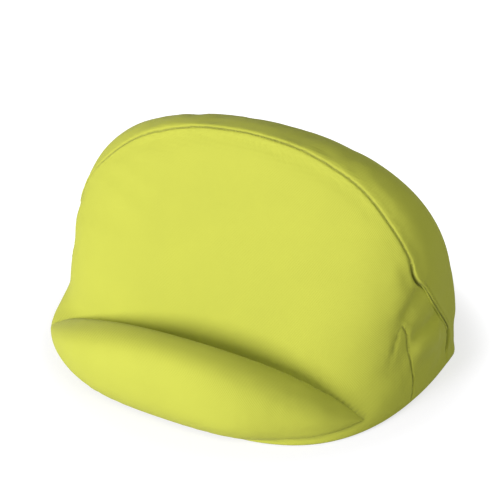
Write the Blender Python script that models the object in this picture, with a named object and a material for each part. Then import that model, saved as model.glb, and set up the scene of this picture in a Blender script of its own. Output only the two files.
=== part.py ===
"""A cushion stand: a stuffed bag with a sloping rest face, and a crescent lip along the foot of the slope.

Metres, +Z up, +Y to the back. The origin lies on the floor, under the middle of the whole object.
"""
import math

import bmesh
import bpy
import numpy as np

# Sizes of the bag. Places along Y are measured from the line that a leaning edge stands on.
HALF_WIDTH = 0.1337
BAG_HEIGHT = 0.1485
CREST_Y = 0.0900
WIDEST_Y = 0.1195
BACK_Y = 0.1700
TOE_Y = -0.0300
TOE_THICKNESS = 0.0140
HEEL_Y = 0.0050
VALLEY_Z = 0.0180
TOE_TOP_Z = VALLEY_Z * 1.3
EDGE_RADIUS = 0.0030

# Roundness of the bag: 2 is an ellipse, more is squarer.
TOP_ROUNDNESS = 2.2
SLOPE_ROUNDNESS = 1.3
SLOPE_HOLLOW = 1.6
FRONT_ROUNDNESS = 2.7
BACK_ROUNDNESS = 2.0
SIDE_ROUNDNESS = 3.8
TOE_ROUNDNESS = 2.5
DOME_ROUNDNESS = 2.55

# The rest face is pressed flat along a leaning plane, crisp at its foot and rounder at its sides.
REST_LEAN = math.radians(29.9)
REST_Y = 0.0102
REST_Z = 0.0200
FOOT_BLEND = 0.0040
EDGE_BLEND = 0.0200

# The pointed band at each side, from its apex down to the foot, and the soft fold behind it.
BAND_APEX_Y = 0.0594
BAND_APEX_Z = 0.0531
BAND_FOOT_Y = 0.0600
BAND_BOW = 0.0055
BAND_DEPTH = 0.0010
BAND_WIDTH = 0.0045
FOLD_END_Y = 0.0960
FOLD_END_Z = 0.0435
FOLD_SAG = 0.0030
FOLD_DEPTH = 0.0016
FOLD_WIDTH = 0.0075
CREASES_FROM_X = HALF_WIDTH * 0.65
CREASES_FULL_X = HALF_WIDTH * 0.90

# The lip: a stuffed crescent, measured from the same line as the bag.
LIP_HALF_LENGTH = 0.1140
LIP_HEIGHT = 0.0488
LIP_HALF_DEPTH = 0.0200
LIP_MIDDLE_Y = -0.0158
LIP_END_Y = 0.0228
LIP_END_Z = 0.0058
LIP_UNDERSIDE_Z = 0.0036
LIP_ROUNDNESS = 2.4
LIP_SWEEP = 2.2
LIP_TOP_FALL = 2.1
LIP_FOOT_RISE = 5.0
LIP_END_FULLNESS = 4.5
LIP_END_POINT = 0.75

# The welts: raised seams on the sides, straight and raked above, upright at the foot.
WELT_RADIUS = 0.0020
WELT_RAISE = 0.0004
WELT_TOP_Z = 0.0840
WELT_FOOT_Z = 0.0075
WELT_FOOT_Y = 0.1116
WELT_RAKE = 0.70
WELT_KNEE_Z = 0.0260
WELT_BEND = 0.0060
WELT_TAPER = 0.0080
WELT_END_SHARE = 0.45

# Sewn pieces that touch keep this much apart. The cutter is swollen a little more than that, because
# its flat faces lie closer in than its corners.
CLEARANCE = 0.0003
SEAT_SWELL = CLEARANCE * 1.15

# Fineness of the meshes.
RING_POINTS = 88
EDGE_LEVELS = 3
TOE_LEVELS = 7
FACE_LEVELS = 23
LIP_SECTIONS = 49
LIP_POINTS = 30
WELT_POINTS = 26


def smooth_max(a, b, width):
    """The larger of two values, with a round corner of the given width where they cross."""
    return 0.5 * (a + b + np.sqrt((a - b) ** 2 + width ** 2))


def signed_power(value, power):
    """A power that keeps the sign, for superellipses."""
    return np.sign(value) * np.abs(value) ** power


def rest_plane(z):
    """Where the leaning rest plane stands at a height."""
    return REST_Y + (z - REST_Z) * math.tan(REST_LEAN)


def eased(share):
    """A smooth climb from 0 to 1, level at both ends."""
    share = np.clip(share, 0, 1)
    return share * share * (3 - 2 * share)


def valley_share(z):
    """From 0 in the toe, under the lip, to 1 on the rest face."""
    return eased(2 * z / VALLEY_Z - 1)


def bag_level(z):
    """The bag's outline at a height: its half width, front, widest place and back."""
    share = min(z / BAG_HEIGHT, 1.0)
    half = HALF_WIDTH * (1 - share ** SIDE_ROUNDNESS) ** (1 / TOP_ROUNDNESS)
    back = CREST_Y + (BACK_Y - CREST_Y) * (1 - share ** DOME_ROUNDNESS) ** (1 / TOP_ROUNDNESS)
    slope = CREST_Y - (CREST_Y - HEEL_Y) * (1 - share ** SLOPE_ROUNDNESS) ** (1 / SLOPE_HOLLOW)
    front = slope - (HEEL_Y - TOE_Y) * math.exp(-(z / TOE_THICKNESS) ** TOE_ROUNDNESS)
    widest = CREST_Y + (WIDEST_Y - CREST_Y) * (1 - share ** 2)
    return half, front, min(max(widest, front), back), back


def side_x(y, z):
    """How far out the bag's side lies, ahead of its widest place."""
    half, front, widest, _ = bag_level(z)
    share = (widest - y) / (widest - front)
    return half * max(1 - max(share, 0.0) ** FRONT_ROUNDNESS, 0.0) ** (1 / FRONT_ROUNDNESS)


def crease(distance, depth, width):
    """The depth of a soft groove at a distance from its middle."""
    return depth * np.exp(-(distance / width) ** 2)


def side_creases(x, y, z):
    """How far the side is pulled in by the band's seam and by the fold behind it."""
    down = np.clip((BAND_APEX_Z - z) / BAND_APEX_Z, 0, 1)
    band_y = BAND_APEX_Y + (BAND_FOOT_Y - BAND_APEX_Y) * down + BAND_BOW * np.sin(math.pi * down)
    above = np.maximum(z - BAND_APEX_Z, 0)
    pull = crease(np.hypot(y - band_y, above), BAND_DEPTH, BAND_WIDTH)
    run = np.clip((y - BAND_APEX_Y) / (FOLD_END_Y - BAND_APEX_Y), 0, 1)
    fold_z = BAND_APEX_Z + (FOLD_END_Z - BAND_APEX_Z) * run - FOLD_SAG * np.sin(math.pi * run)
    beyond = np.maximum(y - FOLD_END_Y, 0) + np.maximum(BAND_APEX_Y - y, 0)
    pull = pull + crease(np.hypot(z - fold_z, beyond), FOLD_DEPTH, FOLD_WIDTH)
    return pull * np.clip((np.abs(x) - CREASES_FROM_X) / (CREASES_FULL_X - CREASES_FROM_X), 0, 1)


def bag_ring(z, inset=0.0):
    """One level of the bag: evenly spaced points all round, starting at the front."""
    half, front, widest, back = bag_level(z)
    turn = np.linspace(-math.pi / 2, math.pi / 2, 721)
    cosine = np.clip(np.cos(turn), 0, 1)
    sine = np.sin(turn)
    ahead = sine < 0
    power = np.where(ahead, 2 / FRONT_ROUNDNESS, 2 / BACK_ROUNDNESS)
    reach = np.where(ahead, widest - front - inset, back - widest - inset)
    x = (half - inset) * cosine ** power
    y = widest + reach * signed_power(sine, power)
    share = z / BAG_HEIGHT
    blend = FOOT_BLEND + (EDGE_BLEND - FOOT_BLEND) * 4 * share ** 2 * (1 - share ** 2)
    free = eased((y - widest) / max(back - widest, EDGE_RADIUS))
    pressed = smooth_max(y, rest_plane(z), blend) - y
    y = y + pressed * valley_share(z) * (1 - free)
    length = np.concatenate([[0], np.cumsum(np.hypot(np.diff(x), np.diff(y)))])
    spots = np.linspace(0, length[-1], RING_POINTS // 2 + 1)
    x = np.interp(spots, length, x)
    y = np.interp(spots, length, y)
    x = x - side_creases(x, y, z)
    x[0] = x[-1] = 0.0
    right = np.column_stack([x, y])
    left = right[-2:0:-1] * (-1, 1)
    return np.concatenate([right, left])


def bag_levels():
    """Heights and insets of the rings, from the rounded foot edge to the top."""
    corner = np.linspace(0, math.pi / 2, EDGE_LEVELS + 1)
    levels = [(EDGE_RADIUS * (1 - math.cos(a)), EDGE_RADIUS * (1 - math.sin(a))) for a in corner]
    levels += [(z, 0.0) for z in np.linspace(EDGE_RADIUS, TOE_TOP_Z, TOE_LEVELS + 1)[1:]]
    start = math.asin(TOE_TOP_Z / BAG_HEIGHT)
    for a in np.linspace(start, math.pi / 2, FACE_LEVELS + 1)[1:-1]:
        levels.append((BAG_HEIGHT * math.sin(a), 0.0))
    return levels


def lip_section(share):
    """One upright section of the lip, at a share of its half length: a round that sinks to a point."""
    size = abs(share)
    top = LIP_END_Z + (LIP_HEIGHT - LIP_END_Z) * (1 - size ** LIP_TOP_FALL)
    bottom = LIP_END_Z * size ** LIP_FOOT_RISE
    depth = LIP_HALF_DEPTH * max(1 - size ** LIP_END_FULLNESS, 0.0) ** LIP_END_POINT
    middle = LIP_MIDDLE_Y + (LIP_END_Y - LIP_MIDDLE_Y) * size ** LIP_SWEEP
    turn = np.linspace(0, 2 * math.pi, LIP_POINTS, endpoint=False)
    y = middle + depth * signed_power(np.cos(turn), 2 / LIP_ROUNDNESS)
    z = (top + bottom) / 2 + (top - bottom) / 2 * signed_power(np.sin(turn), 2 / LIP_ROUNDNESS)
    return np.column_stack([y, np.maximum(z, LIP_UNDERSIDE_Z)])


def lip_shares():
    """Where the lip's sections stand, closer together towards its ends."""
    return np.sin(np.linspace(-math.pi / 2, math.pi / 2, LIP_SECTIONS))[1:-1]


def whole_middle_y():
    """The middle of the whole object's depth, where the origin goes."""
    front = min(lip_section(share)[:, 0].min() for share in lip_shares())
    return (min(front, TOE_Y) + BACK_Y) / 2


def loft(name, rings, low_end, high_end):
    """A closed skin over rings of equal count. An end is a flat face, or a point to meet at."""
    mesh = bpy.data.meshes.new(name)
    bm = bmesh.new()
    rows = [[bm.verts.new(point) for point in ring] for ring in rings]
    count = len(rows[0])
    for low, high in zip(rows, rows[1:]):
        for i in range(count):
            j = (i + 1) % count
            bm.faces.new((low[i], low[j], high[j], high[i]))
    for row, end in ((rows[0], low_end), (rows[-1], high_end)):
        if end is None:
            bm.faces.new(row)
        else:
            pole = bm.verts.new(end)
            for i in range(count):
                bm.faces.new((row[i], row[(i + 1) % count], pole))
    bmesh.ops.recalc_face_normals(bm, faces=bm.faces)
    bm.to_mesh(mesh)
    bm.free()
    return bpy.data.objects.new(name, mesh)


def make_bag(name, middle_y):
    """The stuffed bag."""
    rings = []
    for z, inset in bag_levels():
        outline = bag_ring(z, inset)
        rings.append([(x, y - middle_y, z) for x, y in outline])
    top_y = (rings[-1][0][1] + rings[-1][RING_POINTS // 2][1]) / 2
    return loft(name, rings, None, (0, top_y, BAG_HEIGHT))


def make_lip(name, middle_y):
    """The stuffed crescent, before it is cut to sit on the bag."""
    rings = []
    for share in lip_shares():
        x = LIP_HALF_LENGTH * share
        rings.append([(x, y - middle_y, z) for y, z in lip_section(share)])
    ends = [(side * LIP_HALF_LENGTH, LIP_END_Y - middle_y, LIP_END_Z) for side in (-1, 1)]
    return loft(name, rings, ends[0], ends[1])


def welt_path(side, middle_y):
    """The raised seam's line on the bag's side, from its top down."""
    points = []
    for z in np.linspace(WELT_TOP_Z, WELT_FOOT_Z, WELT_POINTS):
        bend = math.log1p(math.exp((z - WELT_KNEE_Z) / WELT_BEND))
        y = WELT_FOOT_Y - WELT_RAKE * WELT_BEND * bend
        points.append((side * (side_x(y, z) + WELT_RAISE), y - middle_y, z))
    return points


def make_welt(name, side, middle_y):
    """A raised seam: a round cord along its line, thinner at both ends, made a mesh."""
    curve = bpy.data.curves.new(name + "_line", "CURVE")
    curve.dimensions = "3D"
    curve.bevel_depth = WELT_RADIUS
    curve.bevel_resolution = 2
    curve.use_fill_caps = True
    path = welt_path(side, middle_y)
    spline = curve.splines.new("POLY")
    spline.points.add(len(path) - 1)
    walked = 0.0
    lengths = [0.0]
    for a, b in zip(path, path[1:]):
        walked += math.dist(a, b)
        lengths.append(walked)
    for point, place, along in zip(spline.points, path, lengths):
        point.co = (*place, 1)
        inward = min(along, walked - along, WELT_TAPER) / WELT_TAPER
        point.radius = WELT_END_SHARE + (1 - WELT_END_SHARE) * inward
    line = bpy.data.objects.new(name + "_line", curve)
    bpy.context.scene.collection.objects.link(line)
    mesh = bpy.data.meshes.new_from_object(line.evaluated_get(bpy.context.evaluated_depsgraph_get()))
    bpy.data.objects.remove(line)
    bm = bmesh.new()
    bm.from_mesh(mesh)
    bmesh.ops.remove_doubles(bm, verts=bm.verts, dist=0.00001)
    bmesh.ops.recalc_face_normals(bm, faces=bm.faces)
    bm.to_mesh(mesh)
    bm.free()
    return bpy.data.objects.new(name, mesh)


def make_seat_cutter(bag):
    """The bag's shape swollen by the clearance, to cut what is sewn onto it."""
    cutter = bpy.data.objects.new("seat_cutter", bag.data.copy())
    bm = bmesh.new()
    bm.from_mesh(cutter.data)
    bm.normal_update()
    moves = [vert.normal * SEAT_SWELL for vert in bm.verts]
    for vert, move in zip(bm.verts, moves):
        vert.co += move
    bm.to_mesh(cutter.data)
    bm.free()
    cutter.hide_render = True
    cutter.display_type = "WIRE"
    return cutter


def seat_on_bag(piece, cutter):
    """Cut a sewn-on piece back so that it follows the bag."""
    cut = piece.modifiers.new("seat", "BOOLEAN")
    cut.operation = "DIFFERENCE"
    cut.solver = "EXACT"
    cut.object = cutter


def cloth(name, colour, roughness):
    """A plain cloth material."""
    material = bpy.data.materials.new(name)
    material.use_nodes = True
    shader = material.node_tree.nodes["Principled BSDF"]
    shader.inputs["Base Color"].default_value = (*colour, 1)
    shader.inputs["Roughness"].default_value = roughness
    shader.inputs["Metallic"].default_value = 0.0
    return material


def finish(piece, collection, material):
    """Link a piece, give it its cloth and shade it smooth."""
    collection.objects.link(piece)
    piece.data.materials.append(material)
    piece.data.shade_smooth()
    piece.data.set_sharp_from_angle(angle=math.radians(50))


def main():
    for old in list(bpy.data.objects):
        bpy.data.objects.remove(old)
    parts = bpy.data.collections.new("cushion_stand")
    cutters = bpy.data.collections.new("cutters")
    for collection in (parts, cutters):
        bpy.context.scene.collection.children.link(collection)
    middle_y = whole_middle_y()

    bag = make_bag("body_cushion", middle_y)
    finish(bag, parts, cloth("lime_bag_cloth", (0.52, 0.55, 0.10), 0.90))
    cutter = make_seat_cutter(bag)
    cutters.objects.link(cutter)

    lip = make_lip("front_lip", middle_y)
    finish(lip, parts, cloth("lime_lip_cloth", (0.56, 0.59, 0.11), 0.90))
    seat_on_bag(lip, cutter)

    for side, hand in ((1, "right"), (-1, "left")):
        welt = make_welt(f"side_welt_{hand}", side, middle_y)
        finish(welt, parts, cloth(f"lime_welt_cloth_{hand}", (0.50, 0.53, 0.10), 0.88))
        seat_on_bag(welt, cutter)


main()
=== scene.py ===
# %% [markdown]
# # A stuffed cushion stand in lime green cloth
#
# The object is a small stuffed bag. Its front is a sloping rest face, and along the foot of the slope
# a crescent-shaped roll, the lip, is sewn on. This lesson dresses the measured solids of that object:
# it loads them as a fixed frame, sets up the camera and the light, weaves the cloth in the shader,
# draws each cushion as a fine net that takes its puckers from a short cloth simulation, and sews it.

import math
from contextlib import contextmanager

import bmesh
import bpy
import numpy as np
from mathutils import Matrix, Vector, noise
from mathutils.bvhtree import BVHTree
from mathutils.kdtree import KDTree


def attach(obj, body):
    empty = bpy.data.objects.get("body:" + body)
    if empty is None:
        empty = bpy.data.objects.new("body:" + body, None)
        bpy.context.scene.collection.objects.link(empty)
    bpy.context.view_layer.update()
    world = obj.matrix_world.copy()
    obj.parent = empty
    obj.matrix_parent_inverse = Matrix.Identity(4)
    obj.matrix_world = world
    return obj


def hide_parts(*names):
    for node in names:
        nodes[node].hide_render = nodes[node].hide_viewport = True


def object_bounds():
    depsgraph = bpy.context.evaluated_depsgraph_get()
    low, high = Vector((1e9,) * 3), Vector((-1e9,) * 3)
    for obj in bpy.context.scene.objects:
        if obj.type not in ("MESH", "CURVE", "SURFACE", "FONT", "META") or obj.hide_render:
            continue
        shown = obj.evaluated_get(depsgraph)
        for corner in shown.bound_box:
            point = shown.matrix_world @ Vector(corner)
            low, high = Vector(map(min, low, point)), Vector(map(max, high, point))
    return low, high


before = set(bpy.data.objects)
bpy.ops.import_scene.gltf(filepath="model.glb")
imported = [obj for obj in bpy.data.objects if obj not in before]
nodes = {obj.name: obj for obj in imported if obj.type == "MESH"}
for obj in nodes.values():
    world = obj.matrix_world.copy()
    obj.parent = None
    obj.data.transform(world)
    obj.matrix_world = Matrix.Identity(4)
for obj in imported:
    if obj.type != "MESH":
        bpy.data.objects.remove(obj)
cad_low, cad_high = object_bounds()
print("frame", sorted(nodes), "size", [round(v, 4) for v in cad_high - cad_low])

# %% [markdown]
# ## Where things are measured from
#
# The cushion is drawn from the line that a leaning edge stands on, behind the lip. The frame's origin
# is under the middle of the whole object, so every place along Y is shifted by the same amount. The
# back of the bag is 170 mm behind that line, which gives the shift.

# %% The leaning line
BACK_FROM_LINE = 0.170
line_y = cad_high.y - BACK_FROM_LINE
print("leaning line at y", round(line_y, 4))

# %% [markdown]
# ## The camera
#
# A long lens from about a metre away, to the right of the cushion and well above it. A long lens
# keeps the roll of the lip from swelling towards the viewer. The camera is placed by its real
# position and turned by two angles, with no roll.

# %% Camera
LENS_MM = 110.9
SENSOR_MM = 36.0
CAMERA_PLACE = Vector((0.4067, line_y - 0.6975, 0.5583))
CAMERA_DOWN = math.radians(29.30)
CAMERA_ROUND = math.radians(27.32)


def link(piece):
    """Put an object into the scene."""
    bpy.context.scene.collection.objects.link(piece)
    return piece


camera_data = bpy.data.cameras.new("camera")
camera_data.lens = LENS_MM
camera_data.sensor_width = SENSOR_MM
camera = link(bpy.data.objects.new("camera", camera_data))
camera.location = CAMERA_PLACE
camera.rotation_euler = (math.pi / 2 - CAMERA_DOWN, 0, CAMERA_ROUND)
bpy.context.scene.camera = camera
print("camera", round(CAMERA_PLACE.length, 3), "m from the origin")

# %% [markdown]
# ## Light
#
# The object stands on pure white with hardly any shadow. One large soft lamp to the front left, not
# much above the cushion, rakes along the lip and leaves the right side in shade. A weak lamp on the
# right lifts that shade a little, so that the folds in it still show.

# %% Lamps
KEY_FROM = Vector((-0.68, -1.66, 0.58))
KEY_SIZE = 0.9
KEY_WATTS = 46.0
KEY_COLOUR = (1.0, 0.97, 1.10)
FILL_FROM = Vector((1.28, -0.40, 1.05))
FILL_SIZE = 0.9
FILL_WATTS = 7.8
FILL_COLOUR = (1.0, 1.0, 1.0)
LAMP_TARGET = Vector((0, 0, 0.05))


def add_lamp(name, place, size, watts, colour):
    """A round soft lamp that shines at the middle of the cushion."""
    data = bpy.data.lights.new(name, "AREA")
    data.shape = "DISK"
    data.size = size
    data.energy = watts
    data.color = colour
    lamp = link(bpy.data.objects.new(name, data))
    lamp.location = place
    lamp.rotation_euler = (LAMP_TARGET - place).to_track_quat("-Z", "Y").to_euler()


add_lamp("key", KEY_FROM, KEY_SIZE, KEY_WATTS, KEY_COLOUR)
add_lamp("fill", FILL_FROM, FILL_SIZE, FILL_WATTS, FILL_COLOUR)
print("lamps of", KEY_WATTS, "and", FILL_WATTS, "watts")

# %% [markdown]
# ## Shader arithmetic
#
# Woven cloth is mostly arithmetic on coordinates. Wiring dozens of Math nodes by hand hides the
# formula, so a socket is wrapped in a small class whose operators add the nodes, and the weave can
# be written as an ordinary expression.

# %% Sockets that do arithmetic
class Socket:
    """A shader socket that takes part in Python expressions by adding Math nodes."""

    def __init__(self, tree, output):
        self.tree = tree
        self.output = output

    def math(self, operation, *others):
        node = self.tree.nodes.new("ShaderNodeMath")
        node.operation = operation
        for place, value in enumerate((self, *others)):
            feed(self.tree, node.inputs[place], value)
        return Socket(self.tree, node.outputs[0])

    def __add__(self, other):
        return self.math("ADD", other)

    def __mul__(self, other):
        return self.math("MULTIPLY", other)

    def __truediv__(self, other):
        return self.math("DIVIDE", other)

    def __pow__(self, other):
        return self.math("POWER", other)

    def sin(self):
        return self.math("SINE")

    def magnitude(self):
        return self.math("ABSOLUTE")


def feed(tree, inlet, value):
    """Set a socket to a number or a colour, or link another socket into it."""
    if isinstance(value, Socket):
        tree.links.new(value.output, inlet)
    else:
        inlet.default_value = value


class Wiring:
    """A node tree, with one way to add any node."""

    def node(self, kind, settings=None, inputs=None, output=0):
        node = self.tree.nodes.new(self.family + kind)
        for setting, value in (settings or {}).items():
            setattr(node, setting, value)
        for inlet, value in (inputs or {}).items():
            feed(self.tree, node.inputs[inlet], value)
        return Socket(self.tree, node.outputs[output])


class Paint(Wiring):
    """A material's node tree."""

    family = "ShaderNode"

    def __init__(self, name):
        self.material = bpy.data.materials.new(name)
        self.material.use_nodes = True
        self.tree = self.material.node_tree
        self.tree.nodes.clear()

    def axes(self, vector):
        """The three parts of a vector."""
        first = self.node("SeparateXYZ", None, {0: vector})
        return [Socket(self.tree, outlet) for outlet in first.output.node.outputs]

    def mix(self, factor, first, second, blend="MIX"):
        """Mix two colours."""
        settings = {"data_type": "RGBA", "blend_type": blend}
        return self.node("Mix", settings, {0: factor, 6: first, 7: second}, 2)

    def done(self, surface):
        end = self.tree.nodes.new("ShaderNodeOutputMaterial")
        feed(self.tree, end.inputs["Surface"], surface)
        return self.material


# %% [markdown]
# ## Backdrop
#
# A white background would normally need a lot of light. Here the world and the floor show themselves
# as white to the camera, and light the cushion at a plain level. The floor is a white card that mixes
# its own glow with the light that falls on it. Further out the glow takes over, so that only the
# ground close to the foot shows the faint shadow.

# %% Floor and world
SKY_LIGHT = 0.20
FLOOR_SIZE = 6.0
FLOOR_DROP = 0.0004
FLOOR_GLOW = 1.20
FLOOR_GLOW_SHARE = 0.55
FLOOR_TONE = 0.86
FLOOR_BOUNCE = 0.46
SHADOW_MIDDLE = Vector((0.01, line_y + 0.085, 0))
SHADOW_REACH = (0.130, 0.180)


def grey(level):
    return (level, level, level, 1)


def shown_rays(tree):
    """1 for the rays that show the background: straight, mirrored or through glass."""
    path = tree.nodes.new("ShaderNodeLightPath")
    kinds = ("Is Camera Ray", "Is Glossy Ray", "Is Transmission Ray")
    straight, mirrored, through = (Socket(tree, path.outputs[kind]) for kind in kinds)
    return straight.math("MAXIMUM", mirrored).math("MAXIMUM", through)


def floor_material():
    paint = Paint("white_card")
    shown = shown_rays(paint.tree)
    tone = paint.mix(shown, grey(FLOOR_BOUNCE), grey(FLOOR_TONE))
    card = paint.node("BsdfDiffuse", None, {"Color": tone})
    glow = paint.node("Emission", None, {"Color": grey(1.0), "Strength": FLOOR_GLOW})
    place = paint.node("TexCoord", output="Object")
    measured = {"operation": "DISTANCE"}
    away = paint.node("VectorMath", measured, {0: place, 1: SHADOW_MIDDLE}, "Value")
    near, far = SHADOW_REACH
    eased = {"interpolation_type": "SMOOTHSTEP"}
    beyond = paint.node("MapRange", eased, {0: away, 1: near, 2: far})
    share = shown * (beyond * (1.0 - FLOOR_GLOW_SHARE) + FLOOR_GLOW_SHARE)
    return paint.done(paint.node("MixShader", None, {0: share, 1: card, 2: glow}))


world = bpy.data.worlds.new("white_room")
bpy.context.scene.world = world
world.use_nodes = True
sky = world.node_tree
sky.nodes.clear()
background = sky.nodes.new("ShaderNodeBackground")
feed(sky, background.inputs["Color"], grey(1.0))
feed(sky, background.inputs["Strength"], shown_rays(sky) * (1.0 - SKY_LIGHT) + SKY_LIGHT)
sky_end = sky.nodes.new("ShaderNodeOutputWorld")
feed(sky, sky_end.inputs["Surface"], Socket(sky, background.outputs[0]))

floor_mesh = bpy.data.meshes.new("floor")
turns = ((-0.5, -0.5), (0.5, -0.5), (0.5, 0.5), (-0.5, 0.5))
corners = [(x * FLOOR_SIZE, y * FLOOR_SIZE, -FLOOR_DROP) for x, y in turns]
floor_mesh.from_pydata(corners, [], [(0, 1, 2, 3)])
floor_mesh.materials.append(floor_material())
floor = link(bpy.data.objects.new("floor", floor_mesh))
bpy.context.scene.view_settings.view_transform = "Standard"
print("floor of", FLOOR_SIZE, "m, the world at a strength of", SKY_LIGHT)

# %% [markdown]
# ## Cloth
#
# The cover is a fine, matt, woven cloth with a faint diagonal twill. An image texture would have to
# be unwrapped over a stuffed form, so the weave is projected along the three axes instead and the
# three are blended by where the surface faces. The twill and the threads go to a Bump node, and a
# slow noise shifts the colour a little, as dye does. The low parts of the weave are painted a little
# darker, as painted shade between the threads. A trace of pale sheen lifts the rims. Where a piece's
# seam attribute is above 0, the cloth is painted darker, as painted shade down in a seam, groove or
# fold.

# %% Cloth material
TWILL_PITCH = 0.00115
THREAD_PITCH = 0.00058
TWILL_SHARE = 0.55
WEAVE_DEPTH = 0.00012
WEAVE_SHADE = 0.08
BLEND_POWER = 6.0
BLOTCH_SIZE = 26.0
BLOTCH_DETAIL = 3.0
BLOTCH_SHADE = 0.05
CLOTH_FINISH = {
    "Roughness": 0.85,
    "Specular IOR Level": 0.5,
    "Sheen Weight": 0.06,
    "Sheen Roughness": 0.45,
    "Sheen Tint": (1.0, 0.98, 0.72, 1),
}
LIME = (0.440, 0.470, 0.042)
# The colour of the painted shade in seams, grooves and folds.
LIME_PAINTED_SHADE = (0.16, 0.17, 0.025)


def weave(first, second):
    """The height of the woven threads at a place on the flat cloth, from 0 to 1."""
    twill = ((first + second) * (math.tau / TWILL_PITCH)).sin() * 0.5 + 0.5
    warp = (first * (math.tau / THREAD_PITCH)).sin()
    weft = (second * (math.tau / THREAD_PITCH)).sin()
    threads = warp * weft * 0.5 + 0.5
    return twill * TWILL_SHARE + threads * (1.0 - TWILL_SHARE)


def cloth_material(name, colour, painted_shade_colour):
    """Woven cloth of one colour, with a painted shade colour down in its seams and folds."""
    paint = Paint(name)
    place = paint.node("TexCoord", output="Object")
    x, y, z = paint.axes(place)
    facing = paint.axes(paint.node("TexCoord", output="Normal"))
    weights = [side.magnitude() ** BLEND_POWER for side in facing]
    total = weights[0] + weights[1] + weights[2]
    woven = (weave(y, z) * weights[0] + weave(x, z) * weights[1] + weave(x, y) * weights[2]) / total

    noisy = {"Vector": place, "Scale": BLOTCH_SIZE, "Detail": BLOTCH_DETAIL}
    blotch = paint.node("TexNoise", None, noisy)
    middle = 1.0 - WEAVE_SHADE / 2 - BLOTCH_SHADE
    # The low parts of the weave are painted darker, as painted shade between the threads; the blotches
    # are uneven dye.
    shade = woven * WEAVE_SHADE + blotch * (2 * BLOTCH_SHADE) + middle
    shades = paint.node("CombineColor", None, {0: shade, 1: shade, 2: shade})
    dyed = paint.mix(1.0, (*colour, 1), shades, "MULTIPLY")
    # The seam attribute gives how much painted shade each place takes.
    seam = paint.node("Attribute", {"attribute_name": "seam"}, None, 2)
    seam_shaded = paint.mix(seam, dyed, (*painted_shade_colour, 1))
    raised = {"Strength": 1.0, "Distance": WEAVE_DEPTH, "Height": woven}
    bumped = paint.node("Bump", None, raised)
    finish = {"Base Color": seam_shaded, "Normal": bumped, **CLOTH_FINISH}
    return paint.done(paint.node("BsdfPrincipled", None, finish))


bag_cloth = cloth_material("lime_bag_cloth", LIME, LIME_PAINTED_SHADE)
lip_cloth = cloth_material("lime_lip_cloth", LIME, LIME_PAINTED_SHADE)
welt_cloth = cloth_material("lime_welt_cloth", LIME, LIME_PAINTED_SHADE)
print("cloth", [cloth.name for cloth in (bag_cloth, lip_cloth, welt_cloth)])

# %% [markdown]
# ## Stuffing a cushion
#
# A stuffed form is round where the cloth is free and tight where it is sewn. Pushing vertices about
# by hand rarely gives that, so an even copy of the solid is drawn in a little and blown up again by
# the cloth solver with its seams held. The cushion itself is drawn as a closed net over rings, and
# takes only the fine part of that relief, so that it keeps the size it was measured at.

# %% Meshes as rows of numbers
def evaluated_mesh(piece):
    """The piece's mesh with its modifiers applied."""
    graph = bpy.context.evaluated_depsgraph_get()
    graph.update()
    return bpy.data.meshes.new_from_object(piece.evaluated_get(graph))


def places(mesh):
    """A mesh's vertices as rows of numbers."""
    found = np.empty(len(mesh.vertices) * 3)
    mesh.vertices.foreach_get("co", found)
    return found.reshape(-1, 3)


def put(mesh, rows):
    """Move a mesh's vertices to the places in the rows."""
    mesh.vertices.foreach_set("co", np.asarray(rows, dtype=float).ravel())
    mesh.update()


def normals(mesh):
    """The way out at each vertex."""
    found = np.empty(len(mesh.vertices) * 3)
    mesh.vertex_normals.foreach_get("vector", found)
    return found.reshape(-1, 3)


@contextmanager
def edited(mesh):
    """A mesh opened for editing, and written back afterwards."""
    bm = bmesh.new()
    bm.from_mesh(mesh)
    bm.verts.ensure_lookup_table()
    yield bm
    bm.to_mesh(mesh)
    bm.free()
    mesh.update()


def neighbour_mean(mesh):
    """A function that gives each vertex the mean of its neighbours' numbers."""
    ends = np.empty(len(mesh.edges) * 2, dtype=int)
    mesh.edges.foreach_get("vertices", ends)
    first, second = ends.reshape(-1, 2).T
    count = np.bincount(ends, minlength=len(mesh.vertices)).astype(float)

    def mean(values):
        total = np.zeros_like(values)
        np.add.at(total, first, values[second])
        np.add.at(total, second, values[first])
        return total / (count if values.ndim == 1 else count[:, None])

    return mean


def finder_of(rows):
    """A tree that finds the nearest of many places."""
    finder = KDTree(len(rows))
    for index, row in enumerate(rows):
        finder.insert(Vector(row), index)
    finder.balance()
    return finder


# %% An even copy of a solid
WELD_DISTANCE = 0.00002
EVEN_ROUNDS = 12
EVEN_FACTORS = (0.5, -0.52)


def evened(mesh, rows):
    """Rows with their facets smoothed away, by turns in and out so that the form doesn't shrink."""
    mean = neighbour_mean(mesh)
    for _ in range(EVEN_ROUNDS):
        for factor in EVEN_FACTORS:
            rows = rows + factor * (mean(rows) - rows)
    return rows


def remeshed(name, node, voxel):
    """An even quad mesh over a CAD solid."""
    mesh = nodes[node].data.copy()
    with edited(mesh) as bm:
        bmesh.ops.remove_doubles(bm, verts=bm.verts, dist=WELD_DISTANCE)
    piece = link(bpy.data.objects.new(name, mesh))
    remesh = piece.modifiers.new("even", "REMESH")
    remesh.mode = "VOXEL"
    remesh.voxel_size = voxel
    piece.data = evaluated_mesh(piece)
    piece.modifiers.clear()
    put(piece.data, evened(piece.data, places(piece.data)))
    return piece


# %% Relief from the cloth solver
SOLVER_QUALITY = 6
SOLVER_FRAMES = 20
HELD_LEAST = 0.01
SLOW_ROUNDS = 40
NEAR_COUNT = 6
NEAR_BLEND = 0.0005
TINY = 1e-9


def lengths(rows):
    """How long each row is as a vector, never quite zero, so that it can be divided by."""
    return np.maximum(np.linalg.norm(rows, axis=1, keepdims=True), TINY)


def held_near(distance, reach):
    """1 up to half the reach, falling to 0 at one and a half times the reach."""
    return np.clip(1.5 - distance / reach, 0, 1)


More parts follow.
